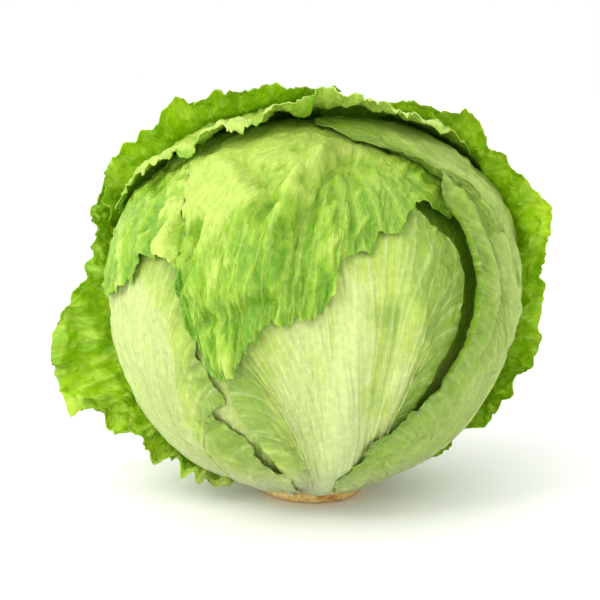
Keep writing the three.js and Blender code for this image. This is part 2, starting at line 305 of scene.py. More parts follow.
# the middle surface of a leaf, with what its skin needs to know at every point
def shapeLeaf(leaf, columns, rows):
    toFlat, toDirection = leafMap(leaf["rib"])
    margin = np.array([list(m) + [0] * (4 - len(m)) for m in leaf["margin"]], float)
    outline = toFlat(directionAt(margin[:, 0], margin[:, 1]))
    dense = smoothPath(np.hstack([outline, margin[:, 2:]]))
    spans = np.hypot(*np.diff(dense[:, :2], axis=0).T)
    travelled = np.concatenate([[0], np.cumsum(spans)])
    crowd = np.interp(np.linspace(0, 1, len(spans)), *zip(*leaf["crowd"]))
    weighted = np.concatenate([[0], np.cumsum(spans * crowd)])
    u = np.linspace(0, 1, columns)
    at = np.interp(u * weighted[-1], weighted, np.arange(len(dense)))
    pick = lambda values: np.interp(at, np.arange(len(dense)), values)
    edge = np.stack([pick(dense[:, 0]), pick(dense[:, 1])], -1)
    bendAngle, bendLength = np.maximum(blurAlong(np.stack([pick(dense[:, 2]), pick(dense[:, 3])], -1), 3), 0).T
    bendAngle = np.where(bendLength > 0.3, bendAngle, 0)
    perDegree = headRadius(toDirection(edge)) * degree
    s = pick(travelled) * marginStretch
    tangent = np.gradient(blurAlong(edge, max(columns // 60, 2)), axis=0)
    outward = np.stack([-tangent[:, 1], tangent[:, 0]], -1)
    outward /= np.maximum(np.hypot(*outward.T), 1e-9)[:, None]
    approach = blurAlong(outward, max(columns // 22, 3))
    approach /= np.maximum(np.hypot(*approach.T), 1e-9)[:, None]

    footPolar = leaf["footPolar"]
    footShare = pick(travelled) / travelled[-1]
    foot = toFlat(directionAt(leaf["foot"][0] + (leaf["foot"][1] - leaf["foot"][0]) * footShare, footPolar))
    reach = np.hypot(*(edge - foot).T)
    hold = foot + np.stack([0 * reach, leaf["hold"] * reach], -1)
    land = edge - approach * np.minimum(leaf["approach"], 0.4 * reach)[:, None]
    t = np.linspace(0, 1, 90)[None, :, None]
    f, h, l, e = foot[:, None], hold[:, None], land[:, None], edge[:, None]
    lines = (1 - t) ** 3 * f + 3 * (1 - t) ** 2 * t * h + 3 * (1 - t) * t ** 2 * l + t ** 3 * e
    steps = np.hypot(*np.moveaxis(np.diff(lines, axis=1), -1, 0)) * arcLength
    lengths = np.concatenate([np.zeros((columns, 1)), np.cumsum(steps, 1)], 1)
    full = lengths[:, -1]

    v = 1 - (1 - np.linspace(0, 1, rows)) ** leaf["rowCrowd"]
    along = full[:, None] * v[None]
    bent = np.minimum(bendLength, full * 0.55)
    past = along - (full - bent)[:, None]
    angle = bendAngle * degree
    curved = leaf["curved"] * bent
    radius = curved / np.maximum(angle, 1e-3)
    turned = np.minimum(np.maximum(past, 0) / np.maximum(radius, 1e-6)[:, None], angle[:, None])
    straight = np.maximum(past - curved[:, None], 0)
    bends = (past > 0) & (angle > 0.02)[:, None]
    forward = radius[:, None] * np.sin(turned) + straight * np.cos(angle)[:, None]
    out = radius[:, None] * (1 - np.cos(turned)) + straight * np.sin(angle)[:, None]
    forward = np.where(bends, forward, past)
    out = np.where(bends, out, 0)
    reached = (full - bent)[:, None] + forward
    flat = np.empty((columns, rows, 2))
    for i in range(columns):
        for axis in (0, 1):
            flat[i, :, axis] = np.interp(reached[i], lengths[i], lines[i, :, axis])
    fromMargin = full[:, None] - along

    teeth = leaf.get("teeth")
    if teeth:
        mask = np.minimum(smoothStep(0, 10, s), smoothStep(0, 10, s[-1] - s))
        cut = toothCut(s, teeth, leaf["seed"]) * mask
        inner = np.exp(-fromMargin / teeth.get("fade", 5))
        flat = flat + outward[:, None] * (cut / perDegree)[:, None, None] * inner[..., None]

    d = toDirection(flat)
    fold = sunk(foldHeight(leaf, flat, toFlat)) * leaf["foldMask"](d)
    height = leaf["drape"](d) + fold
    place = d * (headRadius(d) + height + out)[..., None]
    place[..., 2] -= neckDrop(d, leaf["drop"])

    normal = np.cross(np.gradient(place, axis=0), np.gradient(place, axis=1))
    normal = blurAlong(blurAlong(normal, 2).swapaxes(0, 1), 2).swapaxes(0, 1)
    normal /= np.maximum(np.linalg.norm(normal, axis=-1), 1e-9)[..., None]
    acrossSpan = np.linalg.norm(np.gradient(place, axis=0), axis=-1) * (columns - 1)

    x, y = flat[..., 0] * arcLength, flat[..., 1] * arcLength
    relief = np.zeros((columns, rows))
    # veins run down the fan, or out of one point of the leaf
    share, span, reachOut = u[:, None] + 0 * v[None], acrossSpan, along
    across = (u[:, None] - 0.5) * acrossSpan
    if "focus" in leaf:
        fromFocus = flat - toFlat(directionAt(*leaf["focus"]))
        turn = np.arctan2(fromFocus[..., 0], fromFocus[..., 1])
        reachOut = np.hypot(*np.moveaxis(fromFocus, -1, 0)) * arcLength
        share, span, across = turn / 2 / math.pi + 0.5, 2 * math.pi * reachOut, turn * patternReach
    frill = leaf.get("frill")
    if frill:
        amount = np.interp(np.linspace(0, 1, columns), *zip(*frill["where"])) * frill["rise"]
        depth = frill["depth"] * (1 + 0.4 * softNoise(s, 0 * s, 24, leaf["seed"] + 8))[:, None]
        near = np.exp(-(fromMargin / depth) ** 1.3)
        relief += frillWave(s[:, None] + 0 * along, fromMargin, frill, leaf["seed"]) * amount[:, None] * near
    crumple = leaf.get("crumple")
    if crumple:
        calm = 1 - smoothStep(crumple.get("from", 45), crumple.get("to", 110), fromMargin) * crumple.get("calm", 0.6)
        relief += crumpled(x, y, across, reachOut, crumple, leaf["seed"] + 60) * calm * smoothStep(10, 45, along)
    warpX, warpY = x + 1.8 * softNoise(x, y, 6, 21), y + 1.8 * softNoise(x, y, 6, 22)
    first, second = cellNoise(warpX, warpY, leaf["cell"], leaf["seed"])
    netGap = second - first
    ribApart = np.abs(footShare[:, None] - leaf["ribAt"]) * acrossSpan
    ribEnd = leaf["ribEnd"]
    ribWidth = leaf["ribWidth"] * (1 - 0.75 * smoothStep(0.0, ribEnd, v))[None]
    onRib = np.exp(-(ribApart / ribWidth) ** 2) * (1 - smoothStep(0.3 * ribEnd, ribEnd, v))[None]
    towardFoot = 1 - smoothStep(12, 55, along)
    softer = smoothStep(60, 8, fromMargin) * 0.7 + 0.3
    relief += leaf["blisters"] * (smoothStep(0, 0.5, netGap) - 0.5) * softer * (1 - onRib) * (1 - towardFoot)
    veins = np.zeros((columns, rows))
    veinCount = leaf["veins"]
    grown = v[None] + 0 * along if "focus" not in leaf else np.clip(reachOut / 90, 0, 1)
    for k in range(2 * veinCount):
        spot = (k // 2 + 0.5 + 0.3 * math.sin(7.3 * k + leaf["seed"])) / veinCount
        forks = 0.35 / veinCount * (1 if k % 2 else -1) * smoothStep(0.25 + 0.3 * math.sin(3.1 * k) ** 2, 1, grown)
        sway = 0.012 * softNoise(reachOut, 0 * along + k // 2 * 5.1, 26, leaf["seed"] + 40 + k // 2)
        apart = np.abs(share - spot - forks - sway * grown) * span
        width = 0.45 + 1.3 * (1 - grown) ** 1.5
        veins = np.maximum(veins, np.exp(-(apart / width) ** 2) * smoothStep(0.05, 0.3, grown))
    relief += leaf["veinRise"] * veins * (1 - 0.7 * smoothStep(0.75, 1, v)[None])
    relief += leaf["ribRise"] * onRib
    relief *= np.minimum(smoothStep(0, 6, along + 1), 1)
    place = place + normal * relief[..., None] + headCentre

    green = smoothStep(leaf["paleTo"], leaf["greenFrom"], fromMargin * -1)
    # greener or paler spots listed for each leaf; those laid along a fold's hollow are painted shade
    for azimuth, polar, halfWidth, amount in leaf["toneAndShadeSpots"]:
        apart = np.hypot(*np.moveaxis(flat - toFlat(directionAt(azimuth, polar)), -1, 0))
        green = green + amount * np.exp(-(apart / halfWidth) ** 2)
    # painted shade: greener in the hollows of folds, and painted light: paler on their ridges
    green = green + 0.3 * smoothStep(0, -0.5, fold) - 0.3 * smoothStep(1.5, 6, fold)
    # paler on raised relief and greener in its pockets: painted light and painted shade, on top of the veins' and
    # ribs' own paler colour
    green = green - leaf["shadeAndToneByRelief"] * relief
    polar = polarOf(d)
    green = np.clip(green, 0, 1.2) * (0.15 + 0.85 * smoothStep(24, leaf["greenUp"], polar))
    towardFoot = np.maximum(towardFoot, 0.85 * (1 - smoothStep(20, leaf["paleUp"], polar)))
    return {
        "place": place, "flat": np.stack([x, y], -1), "fan": np.stack([across, reachOut], -1),
        "green": green, "rib": np.clip(onRib, 0, 1), "vein": veins, "foot": towardFoot, "fromMargin": fromMargin,
        "outline": edge, "footLine": foot,
    }


def insideOutline(p, ring):
    within = np.zeros(p.shape[:-1], bool)
    x, y = p[..., 0], p[..., 1]
    for a, b in zip(ring, np.roll(ring, -1, axis=0)):
        if a[1] == b[1]:
            continue
        crossing = (a[1] > y) != (b[1] > y)
        within ^= crossing & (x < (b[0] - a[0]) * (y - a[1]) / (b[1] - a[1]) + a[0])
    return within


# shapes a leaf over all that is laid so far, and lays it
def layLeaf(leaf):
    global laid
    share = lambda d: smoothStep(20, 50, polarOf(d))
    gap = leaf["gap"]
    thickness = leaf["thickness"]
    over = blurMap(widenMap(laid, leaf["widen"]), leaf["soften"])
    leaf["drape"] = lambda d: readMap(over, d) + (gap + thickness / 2) * (0.45 + 0.55 * share(d))
    leaf["foldMask"] = lambda d: smoothStep(24, 46, polarOf(d))
    shape = shapeLeaf(leaf, leaf["columns"], leaf["rows"])
    toFlat, toDirection = leafMap(leaf["rib"])
    flat = toFlat(mapDirections)
    ring = np.vstack([shape["outline"][::2], shape["footLine"][::-2]])
    covered = insideOutline(flat, ring)
    top = leaf["drape"](mapDirections) + thickness / 2 * (0.45 + 0.55 * share(mapDirections))
    top = top + sunk(foldHeight(leaf, flat, toFlat)) * leaf["foldMask"](mapDirections)
    laid = np.where(covered, np.maximum(laid, top), laid)
    spot = shape["place"] - headCentre
    distance = np.linalg.norm(spot, axis=-1)
    d = spot / distance[..., None]
    highest = leaf["drape"](d) + sunk(foldHeight(leaf, toFlat(d), toFlat)) + 2.2
    rise = np.minimum(distance - headRadius(d) + thickness / 2, highest)
    row = np.clip((polarOf(d) / head["mapStep"]).astype(int), 0, mapRows - 1)
    column = ((azimuthOf(d) + 180) / head["mapStep"] + 0.5).astype(int) % mapColumns
    steady = (shape["fromMargin"] > 1.5) & (polarOf(d) > 24)
    np.maximum.at(laid, (row[steady], column[steady]), rise[steady])
    return shape


# a screen colour as the shaders count it
def paint(red, green, blue):
    channels = [c / 255 for c in (red, green, blue)]
    return tuple(c / 12.92 if c <= 0.04045 else ((c + 0.055) / 1.055) ** 2.4 for c in channels) + (1,)


def addNode(tree, kind, at, **values):
    node = tree.nodes.new(kind)
    node.location = at
    for name, value in values.items():
        setattr(node, name, value)
    return node


def blendColours(tree, at, mask, first, second, how="MIX"):
    node = addNode(tree, "ShaderNodeMix", at, data_type="RGBA", blend_type=how)
    for socket, value in ((node.inputs[0], mask), (node.inputs[6], first), (node.inputs[7], second)):
        if isinstance(value, bpy.types.NodeSocket):
            tree.links.new(value, socket)
        else:
            socket.default_value = value
    return node.outputs[2]


def mathsNode(tree, at, how, *values, clamp=False):
    node = addNode(tree, "ShaderNodeMath", at, operation=how, use_clamp=clamp)
    for socket, value in zip(node.inputs, values):
        if isinstance(value, bpy.types.NodeSocket):
            tree.links.new(value, socket)
        else:
            socket.default_value = value
    return node.outputs[0]


def easeBetween(tree, at, value, low, high):
    node = addNode(tree, "ShaderNodeMapRange", at, interpolation_type="SMOOTHSTEP")
    tree.links.new(value, node.inputs["Value"])
    node.inputs["From Min"].default_value = low
    node.inputs["From Max"].default_value = high
    return node.outputs["Result"]


def noiseOn(tree, at, coordinates, scale, stretch=(1, 1, 1), detail=4.0, roughness=0.55, shift=(0, 0, 0)):
    mapping = addNode(tree, "ShaderNodeMapping", (at[0] - 200, at[1]))
    mapping.inputs["Scale"].default_value = stretch
    mapping.inputs["Location"].default_value = shift
    tree.links.new(coordinates, mapping.inputs["Vector"])
    noise = addNode(tree, "ShaderNodeTexNoise", at)
    noise.inputs["Scale"].default_value = scale
    noise.inputs["Detail"].default_value = detail
    noise.inputs["Roughness"].default_value = roughness
    tree.links.new(mapping.outputs[0], noise.inputs["Vector"])
    return noise.outputs["Fac"]


def newGroup(name, colours, numbers, outputs):
    group = bpy.data.node_groups.new(name, "ShaderNodeTree")
    for label in colours:
        group.interface.new_socket(label, in_out="INPUT", socket_type="NodeSocketColor")
    for label, value in numbers.items():
        group.interface.new_socket(label, in_out="INPUT", socket_type="NodeSocketFloat").default_value = value
    for label, kind in outputs.items():
        group.interface.new_socket(label, in_out="OUTPUT", socket_type=kind)
    return group, addNode(group, "NodeGroupInput", (-1400, 0)), addNode(group, "NodeGroupOutput", (1400, 0))


# flesh, ribs, veins and the fine net between them
def makeLeafTissue():
    group, given, made = newGroup(
        "leafTissue",
        ["Foot", "Rib", "Pale", "Middle", "Green", "Vein"],
        {"Vein Show": 0.5, "Net Show": 0.3, "Streak Show": 0.25, "Mottle": 0.35, "Net Size": 0.22},
        {"Colour": "NodeSocketColor", "Roughness": "NodeSocketFloat", "Height": "NodeSocketFloat"},
    )
    put = given.outputs
    skin = addNode(group, "ShaderNodeAttribute", (-1400, 500), attribute_name="skin")
    masks = addNode(group, "ShaderNodeSeparateColor", (-1200, 500))
    group.links.new(skin.outputs["Color"], masks.inputs[0])
    greenness, rib, vein = masks.outputs
    foot = skin.outputs["Alpha"]
    sheet = addNode(group, "ShaderNodeUVMap", (-1400, -300), uv_map="sheet").outputs[0]
    fan = addNode(group, "ShaderNodeUVMap", (-1400, -500), uv_map="fan").outputs[0]

    broad = noiseOn(group, (-900, 200), sheet, 0.055, detail=3)
    fine = noiseOn(group, (-900, 0), sheet, 0.35, detail=5, roughness=0.6, shift=(31, 7, 0))
    streak = noiseOn(group, (-900, -200), fan, 1.0, stretch=(0.85, 0.045, 1), detail=4, roughness=0.65)
    swing = mathsNode(group, (-650, 200), "SUBTRACT", broad, 0.5)
    swing = mathsNode(group, (-500, 200), "MULTIPLY", swing, put["Mottle"])
    swing = mathsNode(group, (-350, 200), "MULTIPLY", swing, 2.4)
    tone = mathsNode(group, (-200, 300), "ADD", greenness, swing, clamp=True)

    lower = easeBetween(group, (0, 400), tone, 0.0, 0.5)
    upper = easeBetween(group, (0, 200), tone, 0.5, 1.0)
    flesh = blendColours(group, (200, 400), lower, put["Pale"], put["Middle"])
    flesh = blendColours(group, (400, 300), upper, flesh, put["Green"])

    warp = addNode(group, "ShaderNodeTexNoise", (-900, -700))
    warp.inputs["Scale"].default_value = 0.16
    group.links.new(sheet, warp.inputs["Vector"])
    shiftBy = addNode(group, "ShaderNodeVectorMath", (-700, -700), operation="MULTIPLY_ADD")
    group.links.new(warp.outputs["Color"], shiftBy.inputs[0])
    shiftBy.inputs[1].default_value = (5, 5, 0)
    group.links.new(sheet, shiftBy.inputs[2])
    net = addNode(group, "ShaderNodeTexVoronoi", (-500, -700), feature="DISTANCE_TO_EDGE")
    group.links.new(shiftBy.outputs[0], net.inputs["Vector"])
    group.links.new(put["Net Size"], net.inputs["Scale"])
    farFromLine = easeBetween(group, (-400, -850), net.outputs["Distance"], 0.0, 0.11)
    netLine = mathsNode(group, (-300, -700), "SUBTRACT", 1.0, farFromLine)
    smallNet = addNode(group, "ShaderNodeTexVoronoi", (-500, -950), feature="DISTANCE_TO_EDGE")
    group.links.new(shiftBy.outputs[0], smallNet.inputs["Vector"])
    group.links.new(mathsNode(group, (-700, -950), "MULTIPLY", put["Net Size"], 2.7), smallNet.inputs["Scale"])
    farFromSmall = easeBetween(group, (-400, -1050), smallNet.outputs["Distance"], 0.0, 0.12)
    smallLine = mathsNode(group, (-300, -950), "SUBTRACT", 1.0, farFromSmall)
    lines = mathsNode(group, (-100, -750), "MULTIPLY_ADD", smallLine, 0.45, netLine)
    lines = mathsNode(group, (50, -750), "MULTIPLY", lines, put["Net Show"])

    streaks = easeBetween(group, (-650, -200), streak, 0.42, 0.72)
    streaks = mathsNode(group, (-450, -200), "MULTIPLY", streaks, put["Streak Show"])
    veins = mathsNode(group, (-450, 0), "MULTIPLY", vein, put["Vein Show"])
    allLines = mathsNode(group, (100, -300), "ADD", lines, streaks)
    allLines = mathsNode(group, (250, -300), "ADD", allLines, veins, clamp=True)
    flesh = blendColours(group, (600, 300), allLines, flesh, put["Vein"])
    flesh = blendColours(group, (800, 300), rib, flesh, put["Rib"])
    flesh = blendColours(group, (1000, 300), foot, flesh, put["Foot"])
    grain = easeBetween(group, (600, 0), fine, 0.3, 0.7)
    shade = addNode(group, "ShaderNodeMapRange", (800, 0))
    group.links.new(grain, shade.inputs["Value"])
    shade.inputs["To Min"].default_value = 0.9
    shade.inputs["To Max"].default_value = 1.06
    brighten = addNode(group, "ShaderNodeVectorMath", (1200, 300), operation="SCALE")
    group.links.new(flesh, brighten.inputs[0])
    group.links.new(shade.outputs[0], brighten.inputs["Scale"])
    group.links.new(brighten.outputs[0], made.inputs["Colour"])

    rough = addNode(group, "ShaderNodeMapRange", (800, -200))
    group.links.new(fine, rough.inputs["Value"])
    rough.inputs["To Min"].default_value = 0.2
    rough.inputs["To Max"].default_value = 0.44
    group.links.new(rough.outputs[0], made.inputs["Roughness"])

    rise = mathsNode(group, (400, -500), "MULTIPLY_ADD", fine, 0.5, allLines)
    rise = mathsNode(group, (600, -500), "MULTIPLY_ADD", streak, 0.35, rise)
    group.links.new(rise, made.inputs["Height"])
    return group


leafTissue = makeLeafTissue()


def leafFinish(name, colours, numbers, glow, thin):
    material = bpy.data.materials.new(name)
    material.use_nodes = True
    tree = material.node_tree
    tree.nodes.clear()
    tissue = addNode(tree, "ShaderNodeGroup", (-500, 0), node_tree=leafTissue)
    for label, colour in colours.items():
        tissue.inputs[label].default_value = paint(*colour)
    for label, value in numbers.items():
        tissue.inputs[label].default_value = value
    bumpNode = addNode(tree, "ShaderNodeBump", (-250, -300))
    bumpNode.inputs["Strength"].default_value = 0.7
    bumpNode.inputs["Distance"].default_value = 0.0009
    tree.links.new(tissue.outputs["Height"], bumpNode.inputs["Height"])
    body = addNode(tree, "ShaderNodeBsdfPrincipled", (0, 100))
    body.inputs["Specular IOR Level"].default_value = 0.5
    tree.links.new(tissue.outputs["Colour"], body.inputs["Base Color"])
    tree.links.new(tissue.outputs["Roughness"], body.inputs["Roughness"])
    tree.links.new(bumpNode.outputs[0], body.inputs["Normal"])
    through = addNode(tree, "ShaderNodeBsdfTranslucent", (0, -300))
    warm = blendColours(tree, (-250, -550), 0.55, tissue.outputs["Colour"], paint(*glow))
    tree.links.new(warm, through.inputs["Color"])
    tree.links.new(bumpNode.outputs[0], through.inputs["Normal"])
    both = addNode(tree, "ShaderNodeMixShader", (300, 0))
    both.inputs[0].default_value = thin
    tree.links.new(body.outputs[0], both.inputs[1])
    tree.links.new(through.outputs[0], both.inputs[2])
    out = addNode(tree, "ShaderNodeOutputMaterial", (500, 0))
    tree.links.new(both.outputs[0], out.inputs["Surface"])
    return material


finishes = {
    "paleLeaf": leafFinish(
        "paleLeaf",
        {"Foot": (226, 234, 184), "Rib": (208, 224, 150), "Pale": (208, 226, 134), "Middle": (184, 212, 78),
         "Green": (140, 180, 44), "Vein": (214, 228, 150)},
        {"Vein Show": 0.4, "Net Show": 0.08, "Streak Show": 0.4, "Mottle": 0.35, "Net Size": 0.2},
        (190, 220, 60), thin=0.18),
    "greenLeaf": leafFinish(
        "greenLeaf",
        {"Foot": (216, 228, 150), "Rib": (204, 224, 120), "Pale": (200, 226, 98), "Middle": (144, 194, 14),
         "Green": (108, 168, 5), "Vein": (198, 226, 92)},
        {"Vein Show": 0.4, "Net Show": 0.2, "Streak Show": 0.42, "Mottle": 0.5, "Net Size": 0.2},
        (166, 212, 20), thin=0.2),
    "wrapperLeaf": leafFinish(
        "wrapperLeaf",
        {"Foot": (212, 222, 160), "Rib": (196, 214, 130), "Pale": (178, 204, 92), "Middle": (150, 188, 48),
         "Green": (116, 160, 28), "Vein": (190, 210, 118)},
        {"Vein Show": 0.35, "Net Show": 0.1, "Streak Show": 0.42, "Mottle": 0.4, "Net Size": 0.2},
        (156, 202, 30), thin=0.2),
    "outerLeaf": leafFinish(
        "outerLeaf",
        {"Foot": (214, 228, 140), "Rib": (208, 228, 96), "Pale": (196, 228, 40), "Middle": (174, 216, 10),
         "Green": (142, 192, 2), "Vein": (208, 232, 80)},
        {"Vein Show": 0.45, "Net Show": 0.42, "Streak Show": 0.15, "Mottle": 0.6, "Net Size": 0.15},
        (206, 240, 2), thin=0.42),
}
print("finishes made", len(finishes))


# one leaf's mesh, its wall and its skin
def makeLeaf(leaf):
    leaf = {**usualLeaf, **leaf}
    shape = layLeaf(leaf)
    columns, rows = leaf["columns"], leaf["rows"]
    bpy.ops.object.select_all(action="DESELECT")
    bpy.ops.mesh.primitive_grid_add(x_subdivisions=columns - 1, y_subdivisions=rows - 1, size=1, location=(0, 0, 0))
    piece = bpy.context.object
    piece.name = leaf["name"]
    mesh = piece.data
    mesh.name = leaf["name"]
    start = np.empty(len(mesh.vertices) * 3, np.float32)
    mesh.vertices.foreach_get("co", start)
    start = start.reshape(-1, 3)
    i = np.rint((start[:, 0] + 0.5) * (columns - 1)).astype(int)
    j = np.rint((start[:, 1] + 0.5) * (rows - 1)).astype(int)
    mesh.vertices.foreach_set("co", (shape["place"][i, j] * millimetre).astype(np.float32).ravel())
    corners = np.empty(len(mesh.loops), np.int32)
    mesh.loops.foreach_get("vertex_index", corners)
    while mesh.uv_layers:
        mesh.uv_layers.remove(mesh.uv_layers[0])
    for name in ("sheet", "fan"):
        layer = mesh.uv_layers.new(name=name)
        key = "flat" if name == "sheet" else "fan"
        layer.data.foreach_set("uv", shape[key][i, j][corners].astype(np.float32).ravel())
    skin = mesh.attributes.new("skin", "FLOAT_COLOR", "POINT")
    tint = np.stack([shape["green"], shape["rib"], shape["vein"], shape["foot"]], -1)[i, j]
    skin.data.foreach_set("color", np.clip(tint, 0, 1).astype(np.float32).ravel())

    # thin at the margin, stout along the rib and at the foot
    stout = 0.5 + 0.3 * smoothStep(0, 18, shape["fromMargin"]) + 0.2 * shape["rib"]
    stout = np.clip(stout, 0.3, 1)[i, j]
    group = piece.vertex_groups.new(name="stoutness")
    level = np.rint(stout * 20).astype(int)
    for value in np.unique(level):
        group.add(np.nonzero(level == value)[0].tolist(), value / 20, "REPLACE")
    bpy.ops.object.modifier_add(type="SOLIDIFY")
    wall = piece.modifiers[-1]
    wall.thickness = leaf["thickness"] * millimetre
    wall.offset = 0
    wall.vertex_group = group.name
    bpy.ops.object.modifier_apply(modifier=wall.name)
    bpy.ops.object.shade_smooth()
    mesh.materials.append(finishes[leaf["finish"]])
    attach(piece, "root")
    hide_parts(leaf["node"])
    print(leaf["name"], "laid,", len(mesh.polygons), "faces")
    return piece


# what every leaf has unless its own dictionary says otherwise. Places are (azimuth, polar), the margin runs
# once round from foot to foot with the bend and the length of a lifted stretch, and a share of the width or
# of the margin's length runs from 0 to 1.
usualLeaf = {
    "crowd": [(0, 1), (1, 1)],  # where along the margin the mesh is denser
    "approach": 18, "hold": 0.38, "footPolar": 14.5, "rowCrowd": 1.35, "curved": 0.6,
    "gap": 0.6, "thickness": 0.9, "widen": 1.6, "soften": 2.0, "drop": 1.5,
    "bulges": [], "folds": [], "toneAndShadeSpots": [],
    "cell": 8, "veins": 16, "veinRise": 0.35,
    "ribAt": 0.5, "ribWidth": 9, "ribRise": 1.6, "ribEnd": 0.8,
    # on the next line, the factor for relief paints shade and light: pockets greener, raised relief paler, over the
    # veins' own paler colour
    "greenUp": 66, "paleUp": 52, "shadeAndToneByRelief": 0.2,
}

innerLeaf = {
    "name": "innerLeaf", "node": "inner_leaf", "slot": "pale_leaf", "finish": "paleLeaf", "seed": 11,
    "columns": 120, "rows": 110, "rib": (-38, 75), "foot": (-76, 6),
    "margin": [(-79, 26), (-84, 52), (-82, 84), (-68, 108), (-44, 116), (-20, 108), (-6, 88), (-2, 64),
               (4, 42), (10, 26)],
    "paleTo": -60, "greenFrom": -6, "blisters": 0.5, "veins": 18,
}

frontLeaf = {
    "name": "frontLeaf", "node": "front_leaf", "slot": "pale_leaf", "finish": "paleLeaf", "seed": 3,
    "drop": 0.5, "columns": 300, "rows": 150, "rib": (13, 75), "foot": (-22, 52),
    "ribAt": 0.47, "ribWidth": 15, "ribRise": 2.2,
    "margin": [(-22, 22), (-12, 34), (-14, 47), (-17, 55), (-20, 61), (-22, 69), (-24, 77), (-30, 88), (-33, 102),
               (-26, 120), (-8, 131), (12, 134), (28, 128), (38, 119), (43, 114), (45, 105), (44, 98), (41, 88),
               (36, 79), (33, 69), (30, 60), (36, 46), (52, 24)],
    "paleTo": -62, "greenFrom": 2, "blisters": 0.3, "veins": 26, "veinRise": 0.3,
    "folds": [
        {"path": [(12, 103), (11, 90), (9, 74), (7, 58), (4, 43)], "rise": 2.2, "width": 4.5},
        {"path": [(18, 101), (19, 89), (18, 79), (16, 65)], "rise": -2.6, "width": 4.5},
        {"path": [(5, 99), (5, 88), (4, 75)], "rise": -1.0, "width": 3.5},
        {"path": [(33, 112), (27, 98), (23, 84), (19, 68)], "rise": 1.4, "width": 4},
        {"path": [(36, 107), (34, 98), (31, 88)], "rise": -1.2, "width": 4},
        {"path": [(46, 122), (46, 106), (44, 92), (40, 78)], "rise": -4.0, "width": 4},
    ],
    "crumple": {"size": 12, "rise": 0.5, "pleat": 0.8},
    # the greener spots laid along the fold hollows beside the rib are painted shade
    "toneAndShadeSpots": [(19, 94, 5, 0.55), (18, 84, 5, 0.5), (17, 73, 5, 0.5), (33, 100, 9, 0.45),
              (11, 92, 3.5, -0.5), (10, 80, 3.5, -0.5), (9, 68, 3.2, -0.4), (4, 100, 5, 0.3), (-12, 90, 9, 0.2)],
    "teeth": {"lobe": 9, "lobeDepth": 1.0, "tooth": 3.2, "toothDepth": 0.8},
}

leftLeaf = {
    "name": "leftLeaf", "node": "left_leaf", "slot": "pale_leaf", "finish": "paleLeaf", "seed": 7,
    "drop": 2.2, "columns": 300, "rows": 150, "rib": (-66, 75), "foot": (-112, -12), "approach": 8,
    "ribAt": 0.4, "ribWidth": 13, "ribRise": 2.4,
    "margin": [(-112, 22), (-116, 52), (-114, 84), (-105, 110), (-84, 124), (-52, 122), (-36, 106), (-32, 92),
               (-31, 83), (-27, 76), (-26, 71), (-31, 67), (-28, 63), (-22, 56), (-16, 46), (-10, 35), (-10, 22)],
    "paleTo": -44, "greenFrom": 3, "blisters": 0.3, "veins": 22, "veinRise": 0.3,
    "folds": [
        {"path": [(-55, 88), (-51, 72), (-41, 58), (-23, 46)], "rise": 1.8, "width": 6},
        {"path": [(-43, 97), (-39, 87), (-33, 80)], "rise": 1.4, "width": 4},
        {"path": [(-41, 62), (-30, 62), (-18, 57)], "rise": -1.2, "width": 3.5},
    ],
    "crumple": {"size": 11, "rise": 0.6, "pleat": 0.7},
    # the greener spot at (-30, 61) lies in a fold's hollow: painted shade
    "toneAndShadeSpots": [(-30, 61, 7, 0.7), (-26, 72, 6, 0.6), (-40, 90, 10, -0.3), (-50, 75, 10, -0.3)], "greenUp": 56,
    "teeth": {"lobe": 8, "lobeDepth": 1.6, "tooth": 3.4, "toothDepth": 1.1},
    "frill": {"wave": 15, "rise": 1.2, "depth": 10, "where": [(0, 0), (0.45, 0), (0.6, 1), (0.9, 1), (1, 0)]},
}

